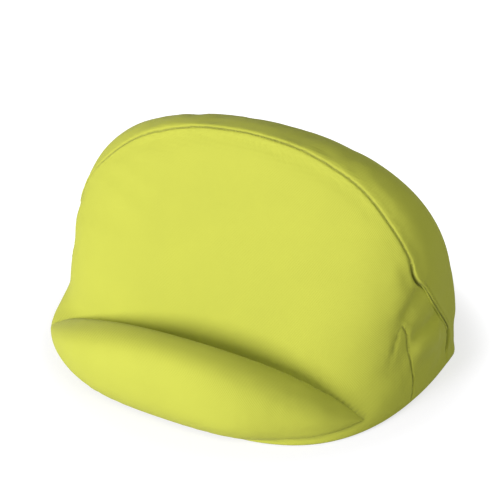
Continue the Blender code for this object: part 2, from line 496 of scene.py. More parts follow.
def solved_relief(name, node, hold, voxel, draw_in, pressure, slack, most):
    """The fine bulges and puckers of a cushion, as a cloth solver makes them.

    An even copy of the solid is drawn in and blown up again, with the vertices held that hold(rows)
    names from 0 to 1. The slow part of the movement is taken off, so that the cushion keeps its
    measured form. Given back is a function that tells the relief near any places."""
    form = remeshed(name, node, voxel)
    begun = places(form.data)
    outward = normals(form.data)
    held = hold(begun)
    start = begun - outward * (draw_in * (1 - held))[:, None]
    put(form.data, start)
    group = form.vertex_groups.new(name="held")
    for index in np.nonzero(held > HELD_LEAST)[0]:
        group.add([int(index)], float(held[index]), "REPLACE")
    solver = form.modifiers.new("fill", "CLOTH")
    solver.settings.quality = SOLVER_QUALITY
    solver.settings.use_pressure = True
    solver.settings.uniform_pressure_force = pressure
    solver.settings.effector_weights.gravity = 0.0
    solver.settings.shrink_min = -slack
    solver.settings.vertex_group_mass = "held"
    solver.point_cache.frame_start = 1
    solver.point_cache.frame_end = SOLVER_FRAMES
    scene = bpy.context.scene
    for step in range(1, SOLVER_FRAMES + 1):
        scene.frame_set(step)
        bpy.context.view_layer.update()
    move = places(evaluated_mesh(form)) - start
    scene.frame_set(1)
    length = lengths(move)
    solved = start + move / length * (most * np.tanh(length / most))
    raised = ((solved - begun) * outward).sum(axis=1)
    mean = neighbour_mean(form.data)
    slow = raised
    for _ in range(SLOW_ROUNDS):
        slow = 0.5 * slow + 0.5 * mean(slow)
    relief = raised - slow
    print(name, "solver moved it", round(float(raised.mean()) * 1000, 2), "mm on average, with",
          round(float(np.abs(relief).max()) * 1000, 2), "mm of fine relief")
    bpy.data.objects.remove(form)
    finder = finder_of(begun)

    def near(rows):
        found = np.empty(len(rows))
        for index, row in enumerate(rows):
            close = finder.find_n(Vector(row), NEAR_COUNT)
            share = np.array([1 / (distance + NEAR_BLEND) for _, _, distance in close])
            found[index] = (relief[[spot for _, spot, _ in close]] * share).sum() / share.sum()
        return found

    return near


# %% A closed net over rings
def signed_power(value, power):
    """A power that keeps the sign, for rounds that are squarer or more pointed than a circle."""
    return np.sign(value) * np.abs(value) ** power


def skinned(name, rings, low, high):
    """A closed net of quads over rings of equal count, drawn together to a point at both ends."""
    count = len(rings[0])
    rows = np.vstack([*rings, [low, high]])
    faces = []
    after = (np.arange(count) + 1) % count
    for ring in range(len(rings) - 1):
        here, above = ring * count, (ring + 1) * count
        for i, beside in enumerate(after.tolist()):
            faces.append((here + i, here + beside, above + beside, above + i))
    last = (len(rings) - 1) * count
    faces += [(int(after[i]), i, len(rows) - 2) for i in range(count)]
    faces += [(last + i, last + int(after[i]), len(rows) - 1) for i in range(count)]
    mesh = bpy.data.meshes.new(name)
    mesh.from_pydata([tuple(row) for row in rows], [], faces)
    with edited(mesh) as bm:
        bmesh.ops.recalc_face_normals(bm, faces=bm.faces)
    return link(bpy.data.objects.new(name, mesh))


def tree_of(piece):
    """A search tree that finds the nearest place on a piece."""
    bm = bmesh.new()
    bm.from_mesh(piece.data)
    tree = BVHTree.FromBMesh(bm)
    bm.free()
    return tree


def laid_on(tree, rows):
    """Rows brought to the nearest places on a surface, and the way up from it at each of them."""
    found = [tree.find_nearest(Vector(row))[:2] for row in rows]
    return [np.array(part) for part in zip(*found)]


def far_from(tree, rows):
    """How far each place is from the surface in a search tree."""
    return np.array([tree.find_nearest(Vector(row))[3] for row in rows])


# %% [markdown]
# ## Seams and folds as lines on the bag
#
# The bag is sewn from a front panel, a back panel and a base. One long seam runs up one side, over
# the crest and down the other side. A short dart in each lower front corner rises to a point. From
# there a wrinkle runs to the long seam, a fold rises and a crease drops, because the cloth is pulled
# tight at that point. A line is given by a few places in millimetres, measured from the middle, from
# the leaning line and from the ground; a smooth curve is drawn through them and laid on the cloth.
# The right side is drawn, and the left side is its mirror image.

# %% Lines on the bag
REAR_SEAM = (
    (134.4, 110.5, 2), (134.3, 110.7, 9.4), (134.0, 111.2, 16.1), (133.9, 111.1, 22.0),
    (133.8, 108.1, 29.5), (132.9, 98.6, 42.7), (130.3, 88.4, 57.5), (126.2, 82.4, 69.9),
    (122.9, 78.3, 75.6), (120.6, 77.0, 80.2), (118.6, 77.5, 86.1), (117.3, 77.7, 88.7),
    (105, 78.5, 107), (80, 81.5, 130), (40, 85.5, 144), (0, 87.5, 148),
)
DART = (
    (120.6, 62.4, 51.2), (121.9, 63.5, 48.4), (123.3, 64.0, 44.4), (124.9, 63.9, 33.7),
    (126.3, 65.4, 24.7), (128.5, 65.5, 14.4), (130.0, 62.5, 7.9), (130.1, 58.5, 2.7),
)
WRINKLE = (
    (123.4, 63.0, 42.0), (124.6, 66.0, 41.0), (128.8, 74.2, 41.0), (132.0, 87.9, 41.4),
    (132.9, 97, 40.5),
)
FOLD = (
    (120.6, 61.0, 52.4), (121.5, 62.9, 55.2), (122.5, 66.1, 60.6), (124.2, 71.1, 64.8),
    (124.9, 76.4, 69.2),
)
CREASE = (
    (120.5, 60.1, 51.0), (119.5, 55.8, 43.5), (118.9, 53.2, 37.5), (118.5, 50.7, 30.1),
    (118.6, 46.8, 20.6),
)
LINE_STEP = 0.0005
SIDES = {"right": 1, "left": -1}


def curve_through(corners):
    """Evenly spaced places along a smooth curve through a few corners in millimetres."""
    spots = np.array(corners, dtype=float) / 1000
    spots[:, 1] += line_y
    padded = np.vstack([2 * spots[0] - spots[1], spots, 2 * spots[-1] - spots[-2]])
    found = []
    for first, second, third, fourth in zip(padded, padded[1:], padded[2:], padded[3:]):
        count = max(2, int(np.linalg.norm(third - second) / LINE_STEP))
        for share in np.arange(count) / count:
            found.append(0.5 * (
                2 * second + (third - first) * share
                + (2 * first - 5 * second + 4 * third - fourth) * share ** 2
                + (3 * second - first - 3 * third + fourth) * share ** 3))
    found.append(spots[-1])
    return np.array(found)


class Line:
    """A line laid on a surface, which tells other places how far across and along it they lie."""

    def __init__(self, tree, rows, side):
        self.rows, self.ups = laid_on(tree, rows * (side, 1, 1))
        forward = np.gradient(self.rows, axis=0)
        across = np.cross(forward, self.ups) * side
        self.across = across / lengths(across)
        steps = np.linalg.norm(np.diff(self.rows, axis=0), axis=1)
        self.length = np.concatenate([[0], np.cumsum(steps)])
        self.finder = finder_of(self.rows)

    def measure(self, rows):
        """How far each place is from the line, how far across it, and how far along it."""
        index = np.empty(len(rows), dtype=int)
        distance = np.empty(len(rows))
        for spot, row in enumerate(rows):
            _, index[spot], distance[spot] = self.finder.find(Vector(row))
        across = ((rows - self.rows[index]) * self.across[index]).sum(axis=1)
        return distance, across, self.length[index]


def bump(value, middle, width):
    """A smooth rise to 1 at the middle that is gone a few widths away."""
    return np.exp(-(((value - middle) / width) ** 2))


def mound(value, height, middle, width):
    """A bump with a height."""
    return height * bump(value, middle, width)


def ramp(value, start, end):
    """A smooth climb from 0 at the start to 1 at the end."""
    share = np.clip((value - start) / (end - start), 0, 1)
    return share * share * (3 - 2 * share)


def span(value, rise, fall):
    """1 between a rise and a fall, and 0 outside them."""
    return ramp(value, *rise) * ramp(value, *fall)


def divide_near(piece, lines, reach):
    """Divide the faces that lie closer to a line than the reach."""
    rows = places(piece.data)
    near = np.min([line.measure(rows)[0] for line in lines], axis=0)
    with edited(piece.data) as bm:
        edges = [edge for edge in bm.edges if all(near[vert.index] < reach for vert in edge.verts)]
        bmesh.ops.subdivide_edges(bm, edges=edges, cuts=1, use_grid_fill=True)


# %% [markdown]
# ## Gathers
#
# Where the lip is sewn on, the thread draws both cloths together, and small puckers run away from the
# seam on each side of it. A wave along the seam, wandering a little and fading with the distance from
# it, is enough for that.

# %% Gathers
GATHER_PITCH = 0.0085
GATHER_HEIGHT = 0.00035
GATHER_REACH = 0.0075
GATHER_BIAS = 0.3
WANDER_PER_METRE = 60
WANDER_SHARE = 5
GATHERED_Z = (0.012, 0.024)
GATHERED_X = (0.098, 0.070)


def gathered(rows, distance, turn=0.0):
    """Small puckers across a seam that lies at the given distances, fading away from it."""
    x, z = rows[:, 0], rows[:, 2]
    wander = np.array([noise.noise(Vector((place * WANDER_PER_METRE, turn, 0))) for place in x])
    ripple = np.sin(x * (math.tau / GATHER_PITCH) + WANDER_SHARE * wander + turn)
    height = GATHER_HEIGHT * (ripple - GATHER_BIAS) * np.exp(-np.maximum(distance, 0) / GATHER_REACH)
    return height * ramp(z, *GATHERED_Z) * ramp(np.abs(x), *GATHERED_X)


# %% [markdown]
# ## The bag
#
# The bag is drawn level by level. Each level is a closed outline with its own half width, front,
# widest place and back. Its front is pressed flat along the leaning rest face, and near the ground
# it runs out into a thin toe under the lip. The underside is flat.

# %% Form of the bag
HALF_WIDTH = 0.1337
BAG_HEIGHT = 0.1485
CREST_Y = 0.0900
WIDEST_Y = 0.1195
BACK_Y = 0.1700
TOE_Y = -0.0300
TOE_THICKNESS = 0.0140
HEEL_Y = 0.0050
VALLEY_Z = 0.0180
TOE_TOP_Z = VALLEY_Z * 1.3
EDGE_RADIUS = 0.0018
FRONT_ROUNDNESS = 2.7
BACK_ROUNDNESS = 2.0
SIDE_ROUNDNESS = 3.8
TOE_ROUNDNESS = 2.5
DOME_ROUNDNESS = 2.55
TOP_ROUNDNESS = 2.2
SLOPE_ROUNDNESS = 1.3
SLOPE_HOLLOW = 1.6
REST_LEAN = math.radians(29.9)
REST_Y = 0.0102
REST_Z = 0.0200
FOOT_BLEND = 0.0040
EDGE_BLEND = 0.0200
RING_SAMPLES = 2881
RING_POINTS = 320
EDGE_LEVELS = 7
TOE_LEVELS = 16
FACE_LEVELS = 104
BASE_LEVELS = 12


def bag_ring(z, inset=0.0):
    """One level of the bag: evenly spaced places all round, starting at the front."""
    share = min(z / BAG_HEIGHT, 1.0)
    half = HALF_WIDTH * (1 - share ** SIDE_ROUNDNESS) ** (1 / TOP_ROUNDNESS)
    back = CREST_Y + (BACK_Y - CREST_Y) * (1 - share ** DOME_ROUNDNESS) ** (1 / TOP_ROUNDNESS)
    slope = CREST_Y - (CREST_Y - HEEL_Y) * (1 - share ** SLOPE_ROUNDNESS) ** (1 / SLOPE_HOLLOW)
    front = slope - (HEEL_Y - TOE_Y) * math.exp(-((z / TOE_THICKNESS) ** TOE_ROUNDNESS))
    widest = min(max(CREST_Y + (WIDEST_Y - CREST_Y) * (1 - share ** 2), front), back)
    turn = np.linspace(-math.pi / 2, math.pi / 2, RING_SAMPLES)
    cosine, sine = np.clip(np.cos(turn), 0, 1), np.sin(turn)
    ahead = sine < 0
    power = np.where(ahead, 2 / FRONT_ROUNDNESS, 2 / BACK_ROUNDNESS)
    reach = np.where(ahead, widest - front - inset, back - widest - inset)
    x = (half - inset) * cosine ** power
    y = widest + reach * signed_power(sine, power)
    blend = FOOT_BLEND + (EDGE_BLEND - FOOT_BLEND) * 4 * share ** 2 * (1 - share ** 2)
    plane = REST_Y + (z - REST_Z) * math.tan(REST_LEAN)
    pressed = 0.5 * (plane - y + np.sqrt((y - plane) ** 2 + blend ** 2))
    y = y + pressed * ramp(z, VALLEY_Z / 2, VALLEY_Z) * (1 - ramp(y, widest, back))
    length = np.concatenate([[0], np.cumsum(np.hypot(np.diff(x), np.diff(y)))])
    spots = np.linspace(0, length[-1], RING_POINTS // 2 + 1)
    x, y = np.interp(spots, length, x), np.interp(spots, length, y)
    x[0] = x[-1] = 0.0
    right = np.column_stack([x, y + line_y, np.full(len(x), z)])
    return np.concatenate([right, right[-2:0:-1] * (-1, 1, 1)])


def bag_rings():
    """The rings of the bag, from the middle of its underside to the top."""
    corner = np.linspace(0, math.pi / 2, EDGE_LEVELS + 1)
    rim = bag_ring(0.0, EDGE_RADIUS)
    middle = rim.mean(axis=0)
    shares = np.linspace(0, 1, BASE_LEVELS + 1)[1:-1]
    rings = [middle + (rim - middle) * share for share in shares]
    for turn in corner:
        z, inset = EDGE_RADIUS * (1 - math.cos(turn)), EDGE_RADIUS * (1 - math.sin(turn))
        rings.append(bag_ring(z, inset))
    rings += [bag_ring(z) for z in np.linspace(EDGE_RADIUS, TOE_TOP_Z, TOE_LEVELS + 1)[1:]]
    turns = np.linspace(math.asin(TOE_TOP_Z / BAG_HEIGHT), math.pi / 2, FACE_LEVELS + 1)[1:-1]
    rings += [bag_ring(BAG_HEIGHT * math.sin(turn)) for turn in turns]
    top_y = (rings[-1][0][1] + rings[-1][RING_POINTS // 2][1]) / 2
    return rings, middle, (0, top_y, BAG_HEIGHT)


# %% [markdown]
# A stuffed bag never lies quite evenly. The filling has moved to the right, so the foot of the front
# bulges forward there and draws back further left. Each lump is a push, a place across and a width.

# %% Slump
SLUMP = ((-0.0068, 0.085, 0.055), (0.0024, 0.078, 0.018), (0.0030, -0.100, 0.035))
SLUMP_DEPTH = (0.070, 0.010)
SLUMP_Z = (0.040, 0.010)
CORNER = (0.120, 0.036)
CORNER_PUSH = (0.0002, -0.0009)
CORNER_REACH = 0.024
CORNER_Z = (0.045, 0.010)


def slumped(rows):
    """The foot of the front pushed forward and back as the filling lies, and its corners drawn in."""
    x, y, z = rows.T
    move = sum(mound(x, *lump) for lump in SLUMP)
    move *= ramp(y - line_y, *SLUMP_DEPTH) * ramp(z, *SLUMP_Z)
    away = np.hypot(np.abs(x) - CORNER[0], y + move - line_y - CORNER[1])
    push = bump(away, 0, CORNER_REACH) * ramp(z, *CORNER_Z)
    out, forward = CORNER_PUSH
    return np.column_stack([x + np.sign(x) * out * push, y + move + forward * push, z])


# %% Bag
BAG_FILLING = {"voxel": 0.0042, "draw_in": 0.0022, "pressure": 4.0, "slack": 0.012, "most": 0.006}
BAG_RELIEF = 0.55
SEAM_HOLD_REACH = 0.004
GROUND_HOLD_REACH = 0.003
BAG_CROWN = 0.0002
CROWN_REACH = 0.010
SEAM_SINK = 0.0010
RELIEF_Z = (0.002, 0.014)


def nearest_seam(rows):
    """How far each place is from the nearest sewn line."""
    return np.min([line.measure(rows)[0] for line in sewn_lines], axis=0)


def bag_hold(rows):
    """The bag is held at its seams and on the ground."""
    by_seam = held_near(nearest_seam(rows), SEAM_HOLD_REACH)
    return np.maximum(by_seam, held_near(rows[:, 2], GROUND_HOLD_REACH))


bag = skinned("bag", *bag_rings())
drawn_tree = tree_of(bag)
sewn_lines = [
    Line(drawn_tree, curve_through(corners), side)
    for side in SIDES.values() for corners in (REAR_SEAM, DART)
]
relief = solved_relief("bag_form", "body_cushion", bag_hold, **BAG_FILLING)
rows = places(bag.data)
sunk = np.exp(-nearest_seam(rows) / CROWN_REACH)
height = BAG_CROWN * (1 - sunk) - SEAM_SINK * sunk + relief(rows) * BAG_RELIEF
rows += normals(bag.data) * (height * ramp(rows[:, 2], *RELIEF_Z))[:, None]
print("bag drawn with", len(rows), "vertices")

# %% [markdown]
# What remains of the form is where the bag is heavy or pulled: it slumps, the toe is tucked in under
# the left half of the lip, the sides spread towards the foot, and the back is a little narrower.

# %% Settle the bag
TUCK = 0.0045
TUCK_X = (0.085, 0.045)
TUCK_Y = (0.030, -0.010)
TUCK_Z = (0.016, 0.008)
OUTER_X = (0.060, 0.120)
SIDE_SPREAD = ((0.060, 0.035, 0.0002), (0.010, 0.000, 0.0011))
DRAWN_IN = 0.009
BEHIND_Y = (0.085, 0.115)
DRAWN_IN_Z = (0.025, 0.070)


def settled(rows):
    """The bag's rows slumped, tucked in at the toe, spread at the sides and drawn in behind."""
    rows = slumped(rows)
    rows[:, 1] += TUCK * ramp(rows[:, 0], *TUCK_X) * ramp(rows[:, 2], *TUCK_Z) * ramp(
        rows[:, 1] - line_y, *TUCK_Y)
    outer = ramp(np.abs(rows[:, 0]), *OUTER_X)
    wide = sum(most * ramp(rows[:, 2], start, end) for start, end, most in SIDE_SPREAD)
    rows[:, 0] += np.sign(rows[:, 0]) * wide * outer
    behind = ramp(rows[:, 1] - line_y, *BEHIND_Y) * ramp(rows[:, 2], *DRAWN_IN_Z)
    rows[:, :2] *= (1 - DRAWN_IN * outer * behind)[:, None]
    return rows


put(bag.data, settled(rows))
print("bag settled,", round(float(np.ptp(places(bag.data)[:, 0])) * 1000, 1), "mm wide")

# %% [markdown]
# ## The lip
#
# The lip is a tight, smooth roll that tapers to both ends. It is sewn to the bag along its back and
# its underside. The right half bulges a little further forward than the left, as the filling has
# moved that way.

# %% Lip
LIP_FILLING = {"voxel": 0.0025, "draw_in": 0.0012, "pressure": 3.0, "slack": 0.004, "most": 0.003}
LIP_CROWN = 0.0005
LIP_RELIEF = 0.5
LIP_RELIEF_X = (0.1140, 0.095)
LIP_HOLD_REACH = 0.002
LIP_TURN = 1.3
LIP_HEIGHT = 0.0488
LIP_HALF_DEPTH = 0.0200
LIP_MIDDLE_Y = -0.0158
LIP_UNDERSIDE_Z = 0.0016
LIP_ROUNDNESS = 2.4
LIP_FOOT_ROUNDNESS = 3.0
LIP_TOP_FALL = 2.1
LIP_FOOT_RISE = 5.0
LIP_END_FULLNESS = 4.5
LIP_END_POINT = 0.75
LIP_TIPS = {1: (0.1146, 0.0231, 0.0072), -1: (0.1158, 0.0214, 0.0064)}
LIP_SWEEP = 2.2
LIP_SECTIONS = 241
LIP_POINTS = 120


def lip_section(share):
    """One upright section of the lip, at a share of its half length: a round that sinks to a point."""
    size = abs(share)
    tip_x, tip_y, tip_z = LIP_TIPS[1 if share > 0 else -1]
    top = tip_z + (LIP_HEIGHT - tip_z) * (1 - size ** LIP_TOP_FALL)
    bottom = tip_z * size ** LIP_FOOT_RISE
    depth = LIP_HALF_DEPTH * max(1 - size ** LIP_END_FULLNESS, 0.0) ** LIP_END_POINT
    middle = LIP_MIDDLE_Y + (tip_y - LIP_MIDDLE_Y) * size ** LIP_SWEEP
    turn = np.linspace(0, math.tau, LIP_POINTS, endpoint=False)
    power = 2 / np.where(np.sin(turn) < 0, LIP_FOOT_ROUNDNESS, LIP_ROUNDNESS)
    y = middle + depth * signed_power(np.cos(turn), power)
    z = (top + bottom) / 2 + (top - bottom) / 2 * signed_power(np.sin(turn), power)
    return np.column_stack([np.full(LIP_POINTS, tip_x * share), y + line_y, z])


def lip_rings():
    """The sections of the lip and its two pointed ends, with sections closer together near them."""
    shares = np.sin(np.linspace(-math.pi / 2, math.pi / 2, LIP_SECTIONS))[1:-1]
    ends = []
    for side in (-1, 1):
        tip_x, tip_y, tip_z = LIP_TIPS[side]
        ends.append((side * tip_x, tip_y + line_y, tip_z))
    return [lip_section(share) for share in shares], *ends


def lip_hold(rows):
    """The lip is held where it is sewn to the bag."""
    return held_near(far_from(drawn_tree, rows), LIP_HOLD_REACH)


lip = skinned("lip", *lip_rings())
relief = solved_relief("lip_form", "front_lip", lip_hold, **LIP_FILLING)
rows = places(lip.data)
height = LIP_CROWN + relief(rows) * LIP_RELIEF
height *= ramp(np.abs(rows[:, 0]), *LIP_RELIEF_X)
height += gathered(rows, far_from(drawn_tree, rows), LIP_TURN)
rows += normals(lip.data) * height[:, None]
print("lip drawn with", len(rows), "vertices")

# %% [markdown]
# The lip slumps with the bag and is then seated on it: what would lie deeper inside the bag than a
# seam is brought up to that depth, so that the two cloths meet along one line.

# %% Seat the lip
LIP_PUSH = 0.0004
LIP_PUSH_Y = (0.020, -0.010)
LIP_PUSH_Z = (0.040, 0.010)
LIP_SUNK = 0.0012


def seated(rows, tree):
    """Rows kept from lying deeper inside a piece than the lip is sunk."""
    laid, ups = laid_on(tree, rows)
    deep = ((rows - laid) * ups).sum(axis=1) < -LIP_SUNK
    return np.where(deep[:, None], laid - ups * LIP_SUNK, rows)


rows = slumped(rows)
rows[:, 1] -= LIP_PUSH * ramp(rows[:, 1] - line_y, *LIP_PUSH_Y) * ramp(rows[:, 2], *LIP_PUSH_Z)
rows[:, 2] = np.maximum(rows[:, 2], LIP_UNDERSIDE_Z)
bag_tree = tree_of(bag)
put(lip.data, seated(rows, bag_tree))
lip.data.shade_smooth()
lip.data.materials.append(lip_cloth)
print("lip", len(lip.data.polygons), "faces")

# %% [markdown]
# ## Sewing the bag
#
# A seam is only half a millimetre wide, far finer than the stuffed form needs. The faces beside the
# lines are therefore divided twice more, and every vertex there is moved in or out by how far across
# and along each line it lies: a groove where two panels are sewn, the back panel standing a little
# over the front one, a pucker where the raised part of the seam ends, and soft folds beside the dart.

# %% Lay the lines on the bag
FINE_LINES = ("rear", "dart")
FINE_REACH = (0.0055, 0.0026)

drawn = {"rear": REAR_SEAM, "dart": DART, "wrinkle": WRINKLE, "fold": FOLD, "crease": CREASE}
lines = {}
for hand, side in SIDES.items():
    for name, corners in drawn.items():
        lines[name, hand] = Line(bag_tree, curve_through(corners), side)
for reach in FINE_REACH:
    divide_near(bag, [line for (name, _), line in lines.items() if name in FINE_LINES], reach)
print("lines laid:", len(lines), "and the bag divided to", len(bag.data.polygons), "faces")

# %% [markdown]
# The long seam changes its look on the way up. At the foot it is a tight slit, above that it carries
# the raised double fold, then comes another slit where the fold ends, and over the crest it is a plain
# groove. All the way up the side the back panel stands a little over the front one.

# %% The long seam
REAR_REACH = (0.050, 0.025)
REAR_FOOT_Z = (0.006, 0.011)
CORD_TOP_Z = 0.0752
CORD_FOOT_Z = 0.0245
CORDED_Z = ((CORD_FOOT_Z, CORD_FOOT_Z + 0.004), (0.0775, 0.0745))
STEP_Z = (0.100, 0.080)
OVER_HEIGHT, OVER_WIDTH = 0.0009, 0.016
OVER_ACROSS = (-0.0006, 0.0032)
OVER_Z = (0.004, 0.020)
OVER_LOST = 0.6
UNDER_DEPTH, UNDER_WIDTH = 0.0007, 0.010
UNDER_ACROSS = (-0.0012, 0.0008)
SLIT_Z = ((0.0690, 0.0740), (0.0930, 0.0790))
FOOT_SLIT_Z = ((0.0095, 0.011), (0.0275, 0.024))
PUCKER_Z = 0.0735

# Mounds of the cloth and of its painted shade: a height, a middle and a width.
GROOVE = (-0.0008, 0, 0.0009)
SLIT = (-0.0026, -0.0009, 0.0008)
SLIT_RIM = (0.0003, 0.0009, 0.0011)
FOOT_SLIT = (-0.0024, 0, 0.0006)
PUCKER = (0.0003, 0, 0.0030)
GROOVE_SHADE = (0.6, 0, 0.0006)
SLIT_SHADE = (0.8, -0.0009, 0.0006)
FOOT_SLIT_SHADE = (0.8, 0, 0.0005)


def long_seam(line, rows, own, share):
    """How far the long seam raises or sinks the cloth, and how much painted shade it lays in its groove
    and slits.
    """
    z = rows[:, 2]
    distance, across, _ = line.measure(rows)
    here = ramp(distance, *REAR_REACH) * own
    off_ground = ramp(z, *REAR_FOOT_Z)
    over = ramp(across, *OVER_ACROSS) * np.exp(-np.maximum(across, 0) / OVER_WIDTH)
    over *= ramp(z, *OVER_Z) * (1 - OVER_LOST * ramp(z, *SLIT_Z[0]))
    under = (1 - ramp(across, *UNDER_ACROSS)) * np.exp(np.minimum(across, 0) / UNDER_WIDTH)
    slit = span(z, *SLIT_Z) * share
    foot_slit = span(z, *FOOT_SLIT_Z) * share

    height = (OVER_HEIGHT * over - UNDER_DEPTH * under) * ramp(z, *STEP_Z)
    height += mound(distance, *GROOVE) * (1 - span(z, *CORDED_Z)) * off_ground
    height += slit * (mound(across, *SLIT) + mound(across, *SLIT_RIM))
    height += foot_slit * mound(across, *FOOT_SLIT)
    cord_end = line.rows[np.argmin(np.abs(line.rows[:, 2] - PUCKER_Z))]
    pucker = mound(np.linalg.norm(rows - cord_end, axis=1), *PUCKER) * share

    # Painted shade down in the groove and the slits.
    seam = mound(distance, *GROOVE_SHADE) * off_ground
    seam += slit * mound(across, *SLIT_SHADE) + foot_slit * mound(across, *FOOT_SLIT_SHADE)
    return height * here + pucker, seam * here


# %% [markdown]
# The dart is a fine seam, and the cloth about its point is full of soft hollows. Where hollows cross,
# the deepest one counts, because their sum would make a pit. Below the wrinkle the cloth swells.

# %% The dart and the folds about it
DART_REACH = (0.040, 0.020)
DART_START = (-0.001, 0.002)
HOLLOW_END = (0.050, 0.0)
WRINKLE_DEPTH, WRINKLE_WIDTH, WRINKLE_UPPER_WIDTH = 0.0034, 0.0032, 0.0075
WRINKLE_SIDEWAYS = 0.004
WRINKLE_START = (0.001, 0.012)
WRINKLE_END = (0.0365, 0.027)
SWELL_END = (0.042, 0.030)
FOLD_DEPTH, FOLD_WIDTH, FOLD_WIDER = 0.0020, 0.0036, 0.0050
FOLD_ACROSS = (0, 0.004)
FOLD_START = (0.0, 0.005)
CREASE_END = (0.034, 0.004)
CREASE_SHADE_END = (0.034, 0.010)

# Mounds of the cloth and of its painted shade again. Hollows are given by how deep they are.
DART_GROOVE = (-0.0008, 0, 0.0006)
DART_SHADE = (0.75, 0, 0.0004)
DART_HOLLOW = (0.0014, 0, 0.0060)
CREASE_HOLLOW = (0.0014, 0, 0.0014)
CREASE_SHADE = (0.4, 0, 0.0006)
SWELL = (0.0024, 0.0100, 0.0092)


def dart_and_folds(hand, rows, own, share):
    """How far the dart and the folds raise or sink the cloth, and how much painted shade they lay in
    the dart and the crease.
    """
    distance, _, along = lines["dart", hand].measure(rows)
    here = ramp(distance, *DART_REACH) * own
    height = mound(distance, *DART_GROOVE) * ramp(along, *DART_START) * here
    # Painted shade down in the dart.
    seam = mound(distance, *DART_SHADE) * here
    hollow = mound(distance, *DART_HOLLOW) * ramp(along, *HOLLOW_END) * here

    distance, across, along = lines["wrinkle", hand].measure(rows)
    here = ramp(distance, *DART_REACH) * own * bump(distance - np.abs(across), 0, WRINKLE_SIDEWAYS)
    here *= ramp(along, *WRINKLE_START) * share
    width = np.where(across > 0, WRINKLE_WIDTH, WRINKLE_UPPER_WIDTH)
    wrinkle = mound(across, WRINKLE_DEPTH, 0, width) * ramp(along, *WRINKLE_END) * here
    height += mound(across, *SWELL) * ramp(along, *SWELL_END) * here

    distance, across, along = lines["fold", hand].measure(rows)
    width = FOLD_WIDTH + FOLD_WIDER * ramp(across, *FOLD_ACROSS)
    fold = mound(distance, FOLD_DEPTH, 0, width) * ramp(along, *FOLD_START) * share * own

    distance, _, along = lines["crease", hand].measure(rows)
    crease = mound(distance, *CREASE_HOLLOW) * ramp(along, *CREASE_END) * share * own
    # Painted shade along the crease.
    seam += mound(distance, *CREASE_SHADE) * ramp(along, *CREASE_SHADE_END) * own
    return height - np.max([hollow, wrinkle, fold, crease], axis=0), seam


# %% Sew the bag
FOLD_SHARES = {"right": 1.0, "left": 0.45}
SIDE_BLEND = (-0.002, 0.002)
FOOT_Z = (0.0, 0.003)
LIP_NEAR_Y = 0.060
LIP_NEAR_Z = (0.002, 0.075)
FAR_AWAY = 1.0
LIP_SEAM_SHADE = (0.5, 0, 0.0010)


def distance_from_lip(rows):
    """How far each place is from the lip, measured only where the lip is near."""
    tree = tree_of(lip)
    lowest, highest = LIP_NEAR_Z
    near = (rows[:, 1] - line_y < LIP_NEAR_Y) & (rows[:, 2] > lowest) & (rows[:, 2] < highest)
    found = np.full(len(rows), FAR_AWAY)
    found[near] = far_from(tree, rows[near])
    return found


def shade_seams(piece, shades):
    """Write how much painted shade the cloth takes at each vertex, for the cloth material."""
    attribute = piece.data.attributes.new("seam", "FLOAT", "POINT")
    attribute.data.foreach_set("value", np.clip(shades, 0, 1).astype(np.float32))


rows = places(bag.data)
height = np.zeros(len(rows))
# seam gathers the painted shade of each vertex.
seam = np.zeros(len(rows))
for hand, side in SIDES.items():
    own = ramp(rows[:, 0] * side, *SIDE_BLEND)
    share = FOLD_SHARES[hand]
    for raised, darkened in (
        long_seam(lines["rear", hand], rows, own, share),
        dart_and_folds(hand, rows, own, share),
    ):
        height += raised
        seam += darkened
from_lip = distance_from_lip(rows)
# Painted shade in the valley where the lip meets the bag.
seam += mound(from_lip, *LIP_SEAM_SHADE)
height = (height + gathered(rows, from_lip)) * ramp(rows[:, 2], *FOOT_Z)
rows += normals(bag.data) * height[:, None]
rows[:, 2] = np.maximum(rows[:, 2], 0.0)
put(bag.data, rows)
shade_seams(bag, seam)
bag.data.shade_smooth()
bag.data.materials.append(bag_cloth)
print("bag moved by its seams up to", round(float(np.abs(height).max()) * 1000, 2), "mm")

# %% [markdown]
# ## Raised seams
#
# On each side the long seam is folded double and stands up as two thin cords with a furrow between
# them. A small node tree turns a drawn line into such a cord. The cords are thinner towards their
# ends and sink into the cloth there, and the furrow between them is painted darker, as painted shade.

# %% Geometry node trees
class Graph(Wiring):
    """A geometry node tree that ends in a plain painted mesh."""

    family = ""

    def __init__(self, name, inputs):
        self.tree = bpy.data.node_groups.new(name, "GeometryNodeTree")
        face = self.tree.interface
        face.new_socket("Geometry", in_out="INPUT", socket_type="NodeSocketGeometry")
        for label, kind in inputs:
            face.new_socket(label, in_out="INPUT", socket_type="NodeSocket" + kind)
        face.new_socket("Geometry", in_out="OUTPUT", socket_type="NodeSocketGeometry")
        self.start = self.tree.nodes.new("NodeGroupInput")
        self.end = self.tree.nodes.new("NodeGroupOutput")

    def given(self, label):
        return Socket(self.tree, self.start.outputs[label])

    def drawn(self, label, kind):
        """A value that the drawn line has at its points."""
        settings = {"data_type": kind}
        return self.node("GeometryNodeInputNamedAttribute", settings, {"Name": label})

    def done(self, geometry):
        real = self.node("GeometryNodeRealizeInstances", None, {0: geometry})
        given = {"Geometry": real, "Material": self.given("Material")}
        painted = self.node("GeometryNodeSetMaterial", None, given)
        self.tree.links.new(painted.output, self.end.inputs[0])
        return self.tree


